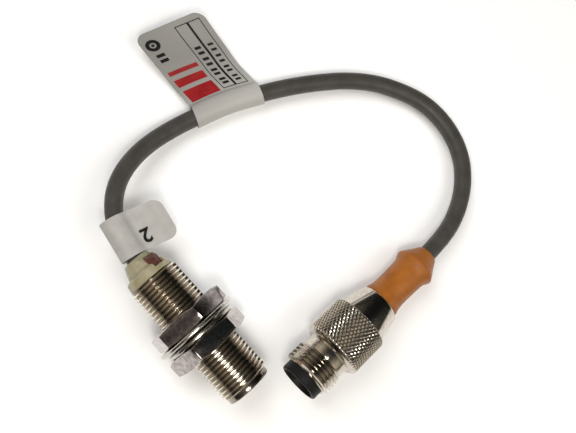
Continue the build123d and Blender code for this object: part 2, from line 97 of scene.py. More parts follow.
MOUTH = Vector(JOINTS["coupling_nut_turn"]["pos_m"]) / MM
REARWARD = Vector(JOINTS["coupling_nut_turn"]["axis"]).normalized()
EXIT = MOUTH + REARWARD * CONNECTOR_LENGTH

# The cable's control points: out of the rear cap, down to the surface, round the loop
# and into the boot.
LYING_Z = 2.4
ROUTE = [
    (-16.5, 0, AXIS_Z),
    (-23.1, 0, AXIS_Z),
    (-30.1, 2.9, 9.3),
    (-35.5, 8.5, 7.6),
    (-38.1, 17.2, 5.0),
    (-37.4, 28.2, LYING_Z),
    (-33.4, 41.9, LYING_Z),
    (-26.5, 56.9, LYING_Z),
    (-16.7, 70.9, LYING_Z),
    (-4.9, 78.2, LYING_Z),
    (4.5, 79.6, LYING_Z),
    (13.6, 77.3, LYING_Z),
    (20.2, 71.9, LYING_Z),
    (24.2, 64.6, 3.2),
    tuple(EXIT + REARWARD * 5.0),
    tuple(MOUTH + REARWARD * JACKET_END),
]


# ---------------------------------------------------------------- camera
CAMERA_PLACE = (-3.51, 2.76, 167.8)
CAMERA_TILT = 10.5  # degrees off the vertical
CAMERA_TURN = 48.16  # degrees, so that +X runs to the lower right


def add_camera():
    """Looks down on the part, a little off the vertical."""
    data = bpy.data.cameras.new("camera")
    data.sensor_width = 36.0
    data.lens = 43.75
    data.clip_start = 0.005
    camera = bpy.data.objects.new("camera", data)
    bpy.context.scene.collection.objects.link(camera)
    place = Matrix.Translation(Vector(CAMERA_PLACE) * MM)
    tilt = Matrix.Rotation(radians(CAMERA_TILT), 4, "X")
    turn = Matrix.Rotation(radians(CAMERA_TURN), 4, "Z")
    camera.matrix_world = place @ tilt @ turn
    bpy.context.scene.camera = camera


# ---------------------------------------------------------------- mesh helpers
WELD = 1e-7  # m, points closer than this become one
WELD_CAD = 1e-6  # m, the same for a CAD node's mesh
ONE_PLANE = 0.2  # degrees between faces that are taken as one flat face


def along_axis(origin, direction):
    """A matrix from (station, out, out) in mm on an axis to the row's frame in metres."""
    x_axis = Vector(direction).normalized()
    z_axis = (Vector((0, 0, 1)) - x_axis * x_axis.z).normalized()
    y_axis = z_axis.cross(x_axis)
    turn = Matrix((x_axis, y_axis, z_axis)).transposed().to_4x4()
    return Matrix.Translation(Vector(origin) * MM) @ turn @ Matrix.Scale(MM, 4)


SENSOR = along_axis((0, 0, AXIS_Z), (1, 0, 0))
CONNECTOR = along_axis(MOUTH, REARWARD)


def new_piece(name, points, faces):
    """A mesh object from points in metres, with doubles merged and normals outwards."""
    mesh = bpy.data.meshes.new(name)
    mesh.from_pydata(points, [], faces)
    shape = bmesh.new()
    shape.from_mesh(mesh)
    bmesh.ops.remove_doubles(shape, verts=shape.verts, dist=WELD)
    bmesh.ops.dissolve_degenerate(shape, edges=shape.edges, dist=0.1 * WELD)
    bmesh.ops.recalc_face_normals(shape, faces=shape.faces)
    shape.to_mesh(mesh)
    shape.free()
    piece = bpy.data.objects.new(name, mesh)
    bpy.context.scene.collection.objects.link(piece)
    return piece


def smooth(piece, angle=30):
    """Shades a piece smooth, with edges over the angle left sharp."""
    piece.data.shade_smooth()
    piece.data.set_sharp_from_angle(angle=radians(angle))


def turned(name, axis, rings, segments, angle=30):
    """A closed turned shell. Each ring is a function from an angle to (station, radius)."""
    points, faces = [], []
    for ring in rings:
        for k in range(segments):
            turn = 2 * pi * k / segments
            station, radius = ring(turn)
            points.append(axis @ Vector((station, radius * cos(turn), radius * sin(turn))))
    for i in range(len(rings)):
        j = (i + 1) % len(rings)
        for k in range(segments):
            m = (k + 1) % segments
            faces.append((i * segments + k, i * segments + m, j * segments + m, j * segments + k))
    piece = new_piece(name, points, faces)
    smooth(piece, angle)
    return piece


def plain(*outline):
    """Rings for an outline of (station, radius) points."""
    return [lambda turn, point=point: point for point in outline]


def between(a, b, c, d, t):
    """The value at t, from 0 at b to 1 at c, on the smooth curve through four values."""
    second = 2 * a - 5 * b + 4 * c - d
    third = 3 * b - a - 3 * c + d
    return 0.5 * (2 * b + (c - a) * t + second * t**2 + third * t**3)


def curve_through(points, steps):
    """Points on a smooth line through the given (station, radius) points."""
    first = tuple(2 * a - b for a, b in zip(points[0], points[1]))
    last = tuple(2 * a - b for a, b in zip(points[-1], points[-2]))
    around = [first, *points, last]
    line = []
    for four in zip(around, around[1:], around[2:], around[3:]):
        for step in range(steps):
            line.append(tuple(between(*values, step / steps) for values in zip(*four)))
    return [*line, points[-1]]


def joined(name, *parts):
    """One object from several meshes."""
    with bpy.context.temp_override(active_object=parts[0], selected_editable_objects=list(parts)):
        bpy.ops.object.join()
    parts[0].name = name
    return parts[0]


def apply_modifiers(piece):
    """Replaces a piece's mesh by the result of its modifiers."""
    bpy.context.view_layer.update()
    shaped = bpy.data.meshes.new_from_object(piece.evaluated_get(bpy.context.evaluated_depsgraph_get()))
    piece.modifiers.clear()
    piece.data = shaped


def softened(node, width):
    """A copy of a CAD node's mesh with its edges rounded off, width in mm."""
    piece = bpy.data.objects.new(node + "_piece", frame["nodes"][node].data.copy())
    piece.data.materials.clear()
    bpy.context.scene.collection.objects.link(piece)
    shape = bmesh.new()
    shape.from_mesh(piece.data)
    bmesh.ops.remove_doubles(shape, verts=shape.verts, dist=WELD_CAD)
    bmesh.ops.dissolve_limit(
        shape,
        angle_limit=radians(ONE_PLANE),
        verts=shape.verts,
        edges=shape.edges,
        use_dissolve_boundaries=False,
    )
    shape.to_mesh(piece.data)
    shape.free()
    bevel = piece.modifiers.new("edges", "BEVEL")
    bevel.width = width * MM
    bevel.segments = 2
    bevel.limit_method = "ANGLE"
    bevel.angle_limit = radians(25)
    apply_modifiers(piece)
    smooth(piece, 35)
    return piece


def thicken(piece, thick):
    """Gives a sheet its thickness in mm, half to each side."""
    solid = piece.modifiers.new("thickness", "SOLIDIFY")
    solid.thickness = thick * MM
    solid.offset = 0
    apply_modifiers(piece)


def dress(piece, node, material, body):
    """Gives a piece its material and slot, stands it for a node and lets it ride on a body."""
    piece.data.materials.clear()
    piece.data.materials.append(material)
    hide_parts(node)
    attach(piece, body)
    return piece


# ---------------------------------------------------------------- material helpers
class Look:
    """A procedural material: a shader and the noise that varies it, in metres of the row's frame."""

    def __init__(self, name, color, **sockets):
        self.material = bpy.data.materials.new(name)
        self.material.use_nodes = True
        self.tree = self.material.node_tree
        self.shader = self.tree.nodes["Principled BSDF"]
        self.shader.inputs["Base Color"].default_value = (*color, 1)
        for socket, value in sockets.items():
            self.shader.inputs[socket.replace("_", " ")].default_value = value
        self.place = self.tree.nodes.new("ShaderNodeTexCoord").outputs["Object"]

    def node(self, kind, **settings):
        made = self.tree.nodes.new(kind)
        for key, value in settings.items():
            setattr(made, key, value)
        return made

    def link(self, source, target):
        self.tree.links.new(source, target)

    def grain(self, size, detail=3.0):
        """Noise whose features are about size mm wide."""
        made = self.node("ShaderNodeTexNoise")
        made.inputs["Scale"].default_value = 1 / (size * MM)
        made.inputs["Detail"].default_value = detail
        self.link(self.place, made.inputs["Vector"])
        return made.outputs["Fac"]

    def span(self, source, low, high):
        """A value from 0 to 1 while the source goes from low to high, in mm."""
        made = self.node("ShaderNodeMapRange")
        made.inputs["From Min"].default_value = low * MM
        made.inputs["From Max"].default_value = high * MM
        self.link(source, made.inputs["Value"])
        return made.outputs["Result"]

    def along(self, axis, low, high):
        """A value from 0 to 1 between two places in mm on an axis of the row's frame."""
        parts = self.node("ShaderNodeSeparateXYZ")
        self.link(self.place, parts.inputs["Vector"])
        return self.span(parts.outputs[axis], low, high)

    def from_axis(self, low, high):
        """A value from 0 to 1 between two radii in mm round the sensor's axis."""
        offset = self.node("ShaderNodeVectorMath", operation="SUBTRACT")
        offset.inputs[1].default_value = (0, 0, AXIS_Z * MM)
        self.link(self.place, offset.inputs[0])
        across = self.node("ShaderNodeVectorMath", operation="MULTIPLY")
        across.inputs[1].default_value = (0, 1, 1)
        self.link(offset.outputs["Vector"], across.inputs[0])
        radius = self.node("ShaderNodeVectorMath", operation="LENGTH")
        self.link(across.outputs["Vector"], radius.inputs[0])
        return self.span(radius.outputs["Value"], low, high)

    def ramp(self, source, *stops):
        """Colours or greys over a 0 to 1 value: stops of (position, colour)."""
        made = self.node("ShaderNodeValToRGB")
        elements = made.color_ramp.elements
        while len(elements) < len(stops):
            elements.new(0.5)
        for element, (position, value) in zip(elements, stops):
            element.position = position
            element.color = (*value, 1) if hasattr(value, "__len__") else (value, value, value, 1)
        self.link(source, made.inputs["Fac"])
        return made.outputs["Color"]

    def vary(self, socket, source, *stops):
        """Lets a socket of the shader follow a 0 to 1 value."""
        self.link(self.ramp(source, *stops), self.shader.inputs[socket])

    def bump(self, source, depth, strength=1.0):
        """Bump of the given depth in mm. Further bumps are added to the earlier ones."""
        made = self.node("ShaderNodeBump")
        made.inputs["Strength"].default_value = strength
        made.inputs["Distance"].default_value = depth * MM
        self.link(source, made.inputs["Height"])
        normal = self.shader.inputs["Normal"]
        if normal.links:
            self.link(normal.links[0].from_socket, made.inputs["Normal"])
        self.link(made.outputs["Normal"], normal)


def nickel_look(name, dark, light, rough, grain, depth):
    """Nickel plating: a warm metal with fine grain in its colour, gloss and surface."""
    look = Look(name, light, Metallic=1.0)
    look.vary("Base Color", look.grain(0.9, 5), (0.3, dark), (0.7, light))
    look.vary("Roughness", look.grain(0.35, 4), (0.3, rough[0]), (0.75, rough[1]))
    look.bump(look.grain(grain, 2), depth)
    look.bump(look.grain(2.2, 2), 3 * depth)
    return look


def nickel(*settings):
    return nickel_look(*settings).material


def plastic(name, dark, light, rough, grain, depth, **sockets):
    """Moulded plastic or rubber: slow colour variation, uneven gloss and a fine moulded grain."""
    look = Look(name, light, **sockets)
    look.vary("Base Color", look.grain(2.6, 4), (0.3, dark), (0.7, light))
    look.vary("Roughness", look.grain(0.8, 3), (0.3, rough[0]), (0.75, rough[1]))
    look.bump(look.grain(grain, 2), depth, 0.6)
    return look.material


def groove_shaded_thread():
    """Nickel painted darker in the grooves of the barrel's thread than on its crests: painted shade in the
    grooves and a painted highlight on the crests.
    """
    look = nickel_look("thread_metal", (0.36, 0.32, 0.27), (0.60, 0.55, 0.47), (0.15, 0.24), 0.30, 0.0003)
    # painted shade in the grooves and painted highlight on the crests, by the radius from the axis
    look.vary(
        "Base Color",
        look.from_axis(THREAD_R - 0.5, THREAD_R - 0.03),
        (0.0, (0.34, 0.30, 0.25)), (0.5, (0.52, 0.47, 0.39)), (1.0, (0.84, 0.78, 0.68)),
    )
    return look.material


def shaded_film():
    """The type label's film, with painted shade that makes it darker towards the flag's free end on the -X
    side.
    """
    look = Look("type_film", (0.36, 0.35, 0.33), Roughness=0.45)
    # painted shade: darker towards the free end of the flag
    look.vary(
        "Base Color",
        look.along("X", -56, -32),
        (0.0, (0.20, 0.195, 0.18)), (0.45, (0.21, 0.205, 0.19)), (1.0, (0.37, 0.36, 0.34)),
    )
    return look.material


THREAD_METAL = groove_shaded_thread()
NUT_METAL = nickel("nut_metal", (0.26, 0.225, 0.225), (0.56, 0.52, 0.50), (0.09, 0.16), 0.30, 0.0012)
WASHER_METAL = nickel("washer_metal", (0.44, 0.42, 0.38), (0.66, 0.63, 0.58), (0.18, 0.30), 0.2, 0.002)
SLEEVE_METAL = nickel("sleeve_metal", (0.48, 0.44, 0.38), (0.66, 0.61, 0.54), (0.10, 0.20), 0.30, 0.0005)
CAP_PLASTIC = plastic(
    "cap_plastic", (0.40, 0.36, 0.22), (0.52, 0.47, 0.31), (0.14, 0.22), 0.6, 0.001,
    Transmission_Weight=0.5, IOR=1.5,
)
WINDOW_PLASTIC = plastic(
    "window_plastic", (0.16, 0.06, 0.05), (0.26, 0.11, 0.09), (0.08, 0.16), 0.5, 0.001,
    Transmission_Weight=0.6,
)
JACKET = plastic("jacket", (0.034, 0.031, 0.027), (0.050, 0.046, 0.041), (0.42, 0.6), 0.25, 0.01)
LABEL_FILM = plastic("label_film", (0.315, 0.305, 0.288), (0.375, 0.365, 0.345), (0.38, 0.52), 0.5, 0.004)
TYPE_FILM = shaded_film()
INK_BLACK = plastic(
    "ink_black", (0.004, 0.004, 0.004), (0.008, 0.008, 0.008), (0.5, 0.6), 0.3, 0.003, Specular_IOR_Level=0.2,
)
INK_RED = plastic(
    "ink_red", (0.20, 0.008, 0.010), (0.27, 0.014, 0.016), (0.5, 0.6), 0.3, 0.003, Specular_IOR_Level=0.2,
)
BOOT_RUBBER = plastic("boot_rubber", (0.235, 0.072, 0.006), (0.31, 0.10, 0.012), (0.40, 0.6), 0.35, 0.01)
CARRIER_PLASTIC = plastic(
    "carrier_plastic", (0.003, 0.003, 0.003), (0.007, 0.007, 0.007), (0.45, 0.6), 0.3, 0.006,
    Specular_IOR_Level=0.25,
)


# ---------------------------------------------------------------- cable
def make_cable():
    """The cable, a round cord along its route."""
    line = bpy.data.curves.new("cable_piece", "CURVE")
    line.dimensions = "3D"
    line.resolution_u = 24
    line.bevel_depth = CABLE_R * MM
    line.bevel_resolution = 10
    line.use_fill_caps = True
    spline = line.splines.new("NURBS")
    spline.points.add(len(ROUTE) - 1)
    for point, place in zip(spline.points, ROUTE):
        point.co = (*(Vector(place) * MM), 1)
    spline.order_u = 3
    spline.use_endpoint_u = True
    piece = bpy.data.objects.new("cable_piece", line)
    bpy.context.scene.collection.objects.link(piece)
    return dress(piece, "cable", JACKET, "sensor")


# ---------------------------------------------------------------- threads
THREAD_STEPS = (0.0, 0.03, 0.16, 0.30, 0.44, 0.5, 0.56, 0.70, 0.84, 0.97)  # parts of a pitch
GROOVE_FLAT = 0.03  # half the floor of a groove, as a part of a pitch
FLANK = 0.41  # a flank's length, as a part of a pitch
THREAD_LEAD = 0.5  # length of the bevel at each end of a thread
THREAD_SEGMENTS = 112


def thread_radius(part):
    """Radius at a part of the pitch: the groove's floor at 0 and the crest at 0.5."""
    rise = (0.5 - abs(part - 0.5) - GROOVE_FLAT) / FLANK
    return THREAD_R - THREAD_DEPTH * (1 - min(max(rise, 0.0), 1.0))


def thread_rings(start, end):
    """Rings of a right-hand thread from start to end, bevelled at both ends."""
    def ring(base):
        def at(turn):
            station = min(max(base + PITCH * turn / (2 * pi), start), end)
            part = ((station - start) / PITCH - turn / (2 * pi)) % 1.0
            edge = min(station - start, end - station)
            limit = THREAD_R - THREAD_DEPTH * max(0.0, 1 - edge / THREAD_LEAD)
            return station, min(thread_radius(part), limit)
        return at

    turns = int((end - start) / PITCH) + 2
    return [ring(start + (k + step) * PITCH) for k in range(-1, turns) for step in THREAD_STEPS]


# ---------------------------------------------------------------- sensor
def make_barrel():
    """The threaded barrel: its plain band has one fine turned line and a rounded front edge."""
    line = THREAD_FRONT + 0.95
    edge = 0.25
    rings = [
        *plain((BARREL_REAR, BORE_R), (BARREL_REAR, ROOT_R)),
        *thread_rings(BARREL_REAR, THREAD_FRONT),
        *plain(
            (THREAD_FRONT + 0.02, BAND_R),
            (line - 0.05, BAND_R),
            (line, BAND_R - 0.04),
            (line + 0.05, BAND_R),
            (FRONT - edge, BAND_R),
            (FRONT - 0.07, BAND_R - 0.07),
            (FRONT, BAND_R - edge),
            (FRONT, BORE_R),
        ),
    ]
    piece = turned("barrel_piece", SENSOR, rings, THREAD_SEGMENTS)
    dress(piece, "threaded_barrel", THREAD_METAL, "sensor")


def make_fasteners():
    """The two nuts and the two lock washers."""
    for node in ("rear_nut", "front_nut"):
        dress(softened(node, 0.14), node, NUT_METAL, node)
    for node, body in (("rear_lock_washer", "rear_washer"), ("front_lock_washer", "front_washer")):
        dress(softened(node, 0.07), node, WASHER_METAL, body)


def make_rear_cap():
    """The translucent cap and the window in it."""
    dress(softened("rear_cap", 0.12), "rear_cap", CAP_PLASTIC, "sensor")
    dress(softened("led_window", 0.15), "led_window", WINDOW_PLASTIC, "sensor")


# ---------------------------------------------------------------- connector
KNURLS = 52  # grooves of each hand round the sleeve
KNURL_DEPTH = 0.28
KNURL_PITCH = 1.45  # along the axis
KNURL_STEPS = 8  # mesh steps for each groove, both ways
KNURL_BEVEL = 0.35  # length of the bevel at the knurl's rear edge
FADE_START = 0.5  # behind the shoulder, where the knurl begins
FADE_LENGTH = 0.9  # over which it grows to its depth
REAR_FADE = 0.3  # over which it fades out again


def knurl_envelope(station):
    """Radius of the knurl's peaks: a rounded shoulder, a cylinder and a bevelled rear edge."""
    if station < KNURL_START:
        part = (station - SHOULDER) / (KNURL_START - SHOULDER)
        return SHOULDER_R + (KNURL_R - SHOULDER_R) * sin(pi / 2 * part)
    return min(KNURL_R, KNURL_R - 0.5 * (KNURL_BEVEL - (KNURL_END - station)))


def knurl_rings():
    """Rings of the diamond knurl, faded out over the rounded shoulder and at its rear edge."""
    def ring(station):
        envelope = knurl_envelope(station)
        growth = max(0.0, (station - SHOULDER - FADE_START) / FADE_LENGTH)
        fade = min(1.0, growth, (KNURL_END - station) / REAR_FADE)

        def at(turn):
            across = KNURLS * turn / (2 * pi)
            up = (across + station / KNURL_PITCH) % 1.0
            down = (across - station / KNURL_PITCH) % 1.0
            peak = 2 * min(up, 1 - up, down, 1 - down)
            return station, envelope - KNURL_DEPTH * fade * (1 - peak)
        return at

    step = KNURL_PITCH / KNURL_STEPS
    count = int((KNURL_END - SHOULDER) / step)
    return [ring(SHOULDER + step * k) for k in range(1, count + 1)]


def make_sleeve():
    """The connector's sleeve: threaded end and neck, then knurl and cone."""
    neck_end = SHOULDER + 0.5  # inside the knurled part
    front = [
        *plain((SLEEVE_START, SLEEVE_BORE_R), (SLEEVE_START, ROOT_R)),
        *thread_rings(SLEEVE_START, SLEEVE_THREAD_END),
        *plain(
            (SLEEVE_THREAD_END + 0.02, NECK_R),
            (SHOULDER - 0.3, NECK_R),
            (SHOULDER + 0.05, NECK_R + 0.25),
            (neck_end, NECK_R + 0.3),
            (neck_end, SLEEVE_BORE_R),
        ),
    ]
    rear = [
        *plain(
            (SHOULDER + 0.3, SLEEVE_BORE_R),
            (SHOULDER, SLEEVE_BORE_R + 0.3),
            (SHOULDER, SHOULDER_R - 0.15),
        ),
        *knurl_rings(),
        *plain(
            (KNURL_END, KNURL_R - 0.45),
            (KNURL_END + 0.02, CONE_R[0] + 0.1),
            (KNURL_END + 0.12, CONE_R[0]),
            (CONE_END - 0.25, CONE_R[1] + 0.05),
            (CONE_END - 0.05, CONE_R[1] - 0.08),
            (CONE_END, CONE_R[1] - 0.25),
            (CONE_END, CONE_BORE_R),
            (BORE_STEP, CONE_BORE_R),
            (BORE_STEP, SLEEVE_BORE_R),
        ),
    ]
    piece = joined(
        "sleeve_piece",
        turned("sleeve_front", CONNECTOR, front, THREAD_SEGMENTS),
        turned("sleeve_rear", CONNECTOR, rear, KNURLS * KNURL_STEPS),
    )
    dress(piece, "coupling_nut", SLEEVE_METAL, "connector_sleeve")


def make_carrier():
    """The black carrier in the connector's mouth."""
    dress(softened("contact_carrier", 0.06), "contact_carrier", CARRIER_PLASTIC, "sensor")


def make_boot():
    """The moulded boot: a waist, a ridge with a fine moulding line on it, and a taper to the cable."""
    start = CONE_END + 0.3
    line_r = RIDGE_R + 0.03
    outside = curve_through(
        [
            (start, BOOT_START_R + 0.02),
            (start + 0.9, BOOT_START_R - 0.12),
            (WAIST - 3.0, WAIST_R + 0.07),
            (WAIST, WAIST_R),
            (RIDGE - 2.2, WAIST_R + 0.2),
            (RIDGE - 0.7, RIDGE_R - 0.2),
            (RIDGE - 0.2, RIDGE_R - 0.06),
            (RIDGE - 0.12, line_r),
            (RIDGE + 0.12, line_r),
            (RIDGE + 0.2, RIDGE_R - 0.08),
            (RIDGE + 1.0, RIDGE_R - 0.45),
            (RIDGE + 2.4, BOOT_TAPER_R),
            (CONNECTOR_LENGTH - 0.6, BOOT_TAIL_R),
            (CONNECTOR_LENGTH - 0.1, BOOT_TAIL_R - 0.25),
        ],
        8,
    )
    inside = [
        (CONNECTOR_LENGTH, BOOT_TAIL_R - 0.4),
        (CONNECTOR_LENGTH, CABLE_R),
        (CRIMP_END, CABLE_R),
        (CRIMP_END, CRIMP_R),
        (JACKET_END, CRIMP_R),
        (BOOT_CAVITY_END, BOOT_CAVITY_R),
        (BOOT_REAR, BOOT_CAVITY_R),
    ]
    neck = [(BOOT_REAR, BOOT_NECK_R), (start, BOOT_NECK_R)]
    piece = turned("boot_piece", CONNECTOR, plain(*neck, *outside, *inside), 96, 40)
    dress(piece, "boot", BOOT_RUBBER, "sensor")


# ---------------------------------------------------------------- labels
class FlagLabel:
    """A film label wrapped round the cable, with its two ends stuck together as a flag.

    A place on the flag is given by across, from 0 at the start edge to 1 at the end edge,
    and out, from 0 at the crease to 1 at the free end.
    """

    THICK = 0.12
    GLUE = 0.012  # half the gap between the flag's two layers
    INK_UP = THICK + 0.045  # a printed mark's height over the flag's middle
    INK_THICK = 0.03
    CORNER = 2.4  # radius of the free corners
    CORNER_STEPS = 10
    LOOP_STEPS = 36
    INK_STEPS = (20, 26)  # mesh steps of a mark over a whole flag, across and out
    DISC_STEPS = 32

    def __init__(self, name, start, end, flag, crease, wrap, lift, bow=0.0):
        self.name = name
        self.start, self.flag = Vector(start), Vector(flag)
        self.along = Vector(end) - self.start
        slant = self.along * self.flag.dot(self.along) / self.along.length_squared
        self.side = (self.flag - slant).normalized()
        self.crease = crease  # distance from the cable's middle
        self.root = self.side * crease
        self.wrap = wrap  # half width and half height of the loop round the cable
        self.lift = lift  # height of the flag over the cable's middle, by across and out
        self.bow = bow  # how far the cable curves towards the flag, halfway across

    def bowed(self, across):
        """How far, and which way, the cable has curved at a place across."""
        return self.side * self.bow * sin(pi * across)

    def on_flag(self, across, out, up):
        """A point of the flag, up mm over its middle layer."""
        at_crease = self.start + self.along * across + self.root
        place = at_crease + (self.flag - self.root) * out + self.bowed(across) * (1 - out)
        return place + Vector((0, 0, self.lift(across, out) + up))

    def spot(self, x, y):
        """The place (across, out) on the flag under a point seen from above, where the cable is straight."""
        reach = self.flag - self.root
        from_crease = Vector((x, y, 0)) - self.start - self.root
        area = self.along.x * reach.y - self.along.y * reach.x
        across = (from_crease.x * reach.y - from_crease.y * reach.x) / area
        out = (self.along.x * from_crease.y - self.along.y * from_crease.x) / area
        return across, out

    def columns(self, middle):
        """Places across the label with how far out the flag reaches there: its corners are round."""
        width = self.along.length
        reach = (self.flag - self.root).length
        arc = [radians(90 * k / self.CORNER_STEPS) for k in range(self.CORNER_STEPS + 1)]
        near = [(self.CORNER * (1 - cos(a)) / width, 1 - self.CORNER * (1 - sin(a)) / reach) for a in arc]
        far = [(1 - across, out) for across, out in reversed(near)]
        gap = (far[0][0] - near[-1][0]) / middle
        between_corners = [(near[-1][0] + gap * k, 1.0) for k in range(1, middle)]
        return [*near, *between_corners, *far]

    def section(self, across, reach, rows):
        """The film's line at one place across: in over the flag, round the cable and out under it."""
        half = self.THICK / 2 + self.GLUE
        over = [self.on_flag(across, reach * (1 - k / rows), half) for k in range(rows + 1)]
        under = [self.on_flag(across, reach * k / rows, -half) for k in range(rows + 1)]
        opening = acos(min(1.0, self.wrap[0] / self.crease))
        middle = self.start + self.along * across + self.bowed(across)
        loop = []
        for k in range(self.LOOP_STEPS + 1):
            a = opening + (2 * pi - 2 * opening) * k / self.LOOP_STEPS
            loop.append(middle + self.side * self.wrap[0] * cos(a) + Vector((0, 0, self.wrap[1] * sin(a))))
        return [*over, *loop, *under]

    def make(self, node, film, rows=26, middle=22):
        """The label's piece. rows are the mesh steps along the flag and middle those across it."""
        lines = [self.section(across, reach, rows) for across, reach in self.columns(middle)]
        points = [point * MM for line in lines for point in line]
        piece = new_piece(self.name, points, self.grid(len(lines), len(lines[0])))
        thicken(piece, self.THICK)
        smooth(piece, 50)
        return dress(piece, node, film, "sensor")

    def grid(self, lines, count):
        """Faces between lines that each have count points."""
        return [
            (i * count + k, i * count + k + 1, (i + 1) * count + k + 1, (i + 1) * count + k)
            for i in range(lines - 1)
            for k in range(count - 1)
        ]

    def patch(self, low, high):
        """Points and faces of a printed rectangle, given by two corners (across, out)."""
        wide, long = high[0] - low[0], high[1] - low[1]
        columns = max(1, int(wide * self.INK_STEPS[0]))
        rows = max(1, int(long * self.INK_STEPS[1]))
        points = [
            self.on_flag(low[0] + wide * i / columns, low[1] + long * k / rows, self.INK_UP) * MM
            for i in range(columns + 1)
            for k in range(rows + 1)
        ]
        return points, self.grid(columns + 1, rows + 1)

    def disc(self, centre, radius, hole=0.0):
        """Points and faces of a printed round mark, radii in mm."""
        width, reach, count = self.along.length, self.flag.length, self.DISC_STEPS
        points, faces = [], []
        for r in (hole, radius):
            for k in range(count):
                a = 2 * pi * k / count
                across = centre[0] + r * cos(a) / width
                points.append(self.on_flag(across, centre[1] + r * sin(a) / reach, self.INK_UP) * MM)
        for k in range(count):
            m = (k + 1) % count
            faces.append((k, m, count + m, count + k))
        return points, faces

    def printed(self, name, marks, ink):
        """One piece for all marks of a colour: thin plates on top of the film."""
        points, faces = [], []
        for mark_points, mark_faces in marks:
            faces += [tuple(len(points) + v for v in face) for face in mark_faces]
            points += mark_points
        piece = new_piece(name, points, faces)
        thicken(piece, self.INK_THICK)
        return add_ink(piece, ink)


def add_ink(piece, ink):
    """Gives a printed mark its colour. It lies on a label and replaces no node."""
    piece.data.materials.clear()
    piece.data.materials.append(ink)
    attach(piece, "sensor")
    return piece


def frame_marks(label, low, high, line):
    """Four thin bars round a rectangle. line is the bars' width across and out."""
    return [
        label.patch(low, (high[0], low[1] + line[1])),
        label.patch((low[0], high[1] - line[1]), high),
        label.patch(low, (low[0] + line[0], high[1])),
        label.patch((high[0] - line[0], low[1]), high),
    ]


def make_type_label():
    """The large label. Its print is generic: bars, two table boxes with dashes, and a ring."""
    def lift(across, out):
        """The flag sags near the cable and stands up at its free end, more so at the end edge."""
        sag = sin(pi * min(out / 0.55, 1.0)) ** 2
        curl = min(max((out - 0.35) / 0.65, 0.0), 1.0) ** 1.5
        return (1.6 + 3.2 * across) * curl - sag

    label = FlagLabel(
        "type_label_piece",
        start=(-36.2, 32.6, LYING_Z),
        end=(-30.5, 48.7, LYING_Z),
        flag=(-23.6, 1.4, 0),
        crease=3.0,
        wrap=(2.8, 2.34),
        lift=lift,
        bow=0.6,
    )
    red = [
        label.patch((0.06, low), (0.50, high))
        for low, high in ((0.02, 0.20), (0.26, 0.36), (0.42, 0.47))
    ]
    inner, outer = 0.03, 0.93  # the boxes' ends, out along the flag
    box_line = (0.012, 0.010)
    ring = (0.15, 0.83)
    black = [
        *frame_marks(label, (0.55, inner), (0.735, outer), box_line),
        *frame_marks(label, (0.735, inner), (0.92, outer), box_line),
        label.patch((0.725, inner), (0.755, outer)),
        label.disc(ring, 1.7, 0.8),
        label.disc(ring, 0.4),
        label.patch((0.09, 0.60), (0.21, 0.64)),
        label.patch((0.09, 0.67), (0.21, 0.71)),
    ]
    for dash in (0.09, 0.15, 0.24, 0.30, 0.38, 0.45, 0.53, 0.60):
        black.append(label.patch((0.60, dash), (0.69, dash + 0.035)))
        black.append(label.patch((0.79, dash), (0.87, dash + 0.03)))
    return [
        label.make("type_label", TYPE_FILM),
        label.printed("type_label_red", red, INK_RED),
        label.printed("type_label_black", black, INK_BLACK),
    ]


def make_marker_label():
    """The small label with the wire number."""
    def lift(across, out):
        """The flag sags halfway out and its free end stands up, the same all across."""
        return 0.5 * out**2 - 0.35 * sin(pi * out)

    label = FlagLabel(
        "marker_label_piece",
        start=(-19.5, 0.1, AXIS_Z - 0.1),
        end=(-29.2, 1.9, AXIS_Z - 0.1),
        flag=(2.9, 11.0, 0),
        crease=3.3,
        wrap=(2.9, 2.5),
        lift=lift,
    )
    return [label.make("marker_label", LABEL_FILM, rows=16, middle=12), make_digit(label)]


DIGIT = "2"
DIGIT_CENTRE = (-21.6, 5.4, 0)
DIGIT_SIZE = 4.6
DIGIT_THICK = 0.02  # to each side of its middle
DIGIT_BOLD = 0.12  # by which its strokes are widened
DIGIT_UP = FlagLabel.THICK + 0.05  # over the flag's middle


def make_digit(label):
    """The wire number on the flag. It reads from the flag's free end towards the cable."""
    text = bpy.data.curves.new("digit", "FONT")
    text.body = DIGIT
    text.align_x = "CENTER"
    text.align_y = "CENTER"
    text.size = DIGIT_SIZE * MM
    text.extrude = DIGIT_THICK * MM
    text.offset = DIGIT_BOLD * MM
    maker = bpy.data.objects.new("digit", text)
    bpy.context.scene.collection.objects.link(maker)
    bpy.context.view_layer.update()
    shape = bpy.data.meshes.new_from_object(maker.evaluated_get(bpy.context.evaluated_depsgraph_get()))
    bpy.data.objects.remove(maker)
    reading = (-label.flag).normalized()
    upward = Vector((0, 0, 1)).cross(reading)
    turn = Matrix((reading, upward, Vector((0, 0, 1)))).transposed().to_4x4()
    shape.transform(Matrix.Translation(Vector(DIGIT_CENTRE) * MM) @ turn)
    for vertex in shape.vertices:
        across, out = label.spot(vertex.co.x / MM, vertex.co.y / MM)
        vertex.co.z += label.on_flag(across, out, DIGIT_UP).z * MM
    piece = bpy.data.objects.new("marker_digit", shape)
    bpy.context.scene.collection.objects.link(piece)
    return add_ink(piece, INK_BLACK)


# ---------------------------------------------------------------- CAD nodes that stay
def paint(material, *nodes):
    """Gives CAD nodes a material and leaves their shape."""
    for node in nodes:
        frame["nodes"][node].data.materials.clear()
        frame["nodes"][node].data.materials.append(material)


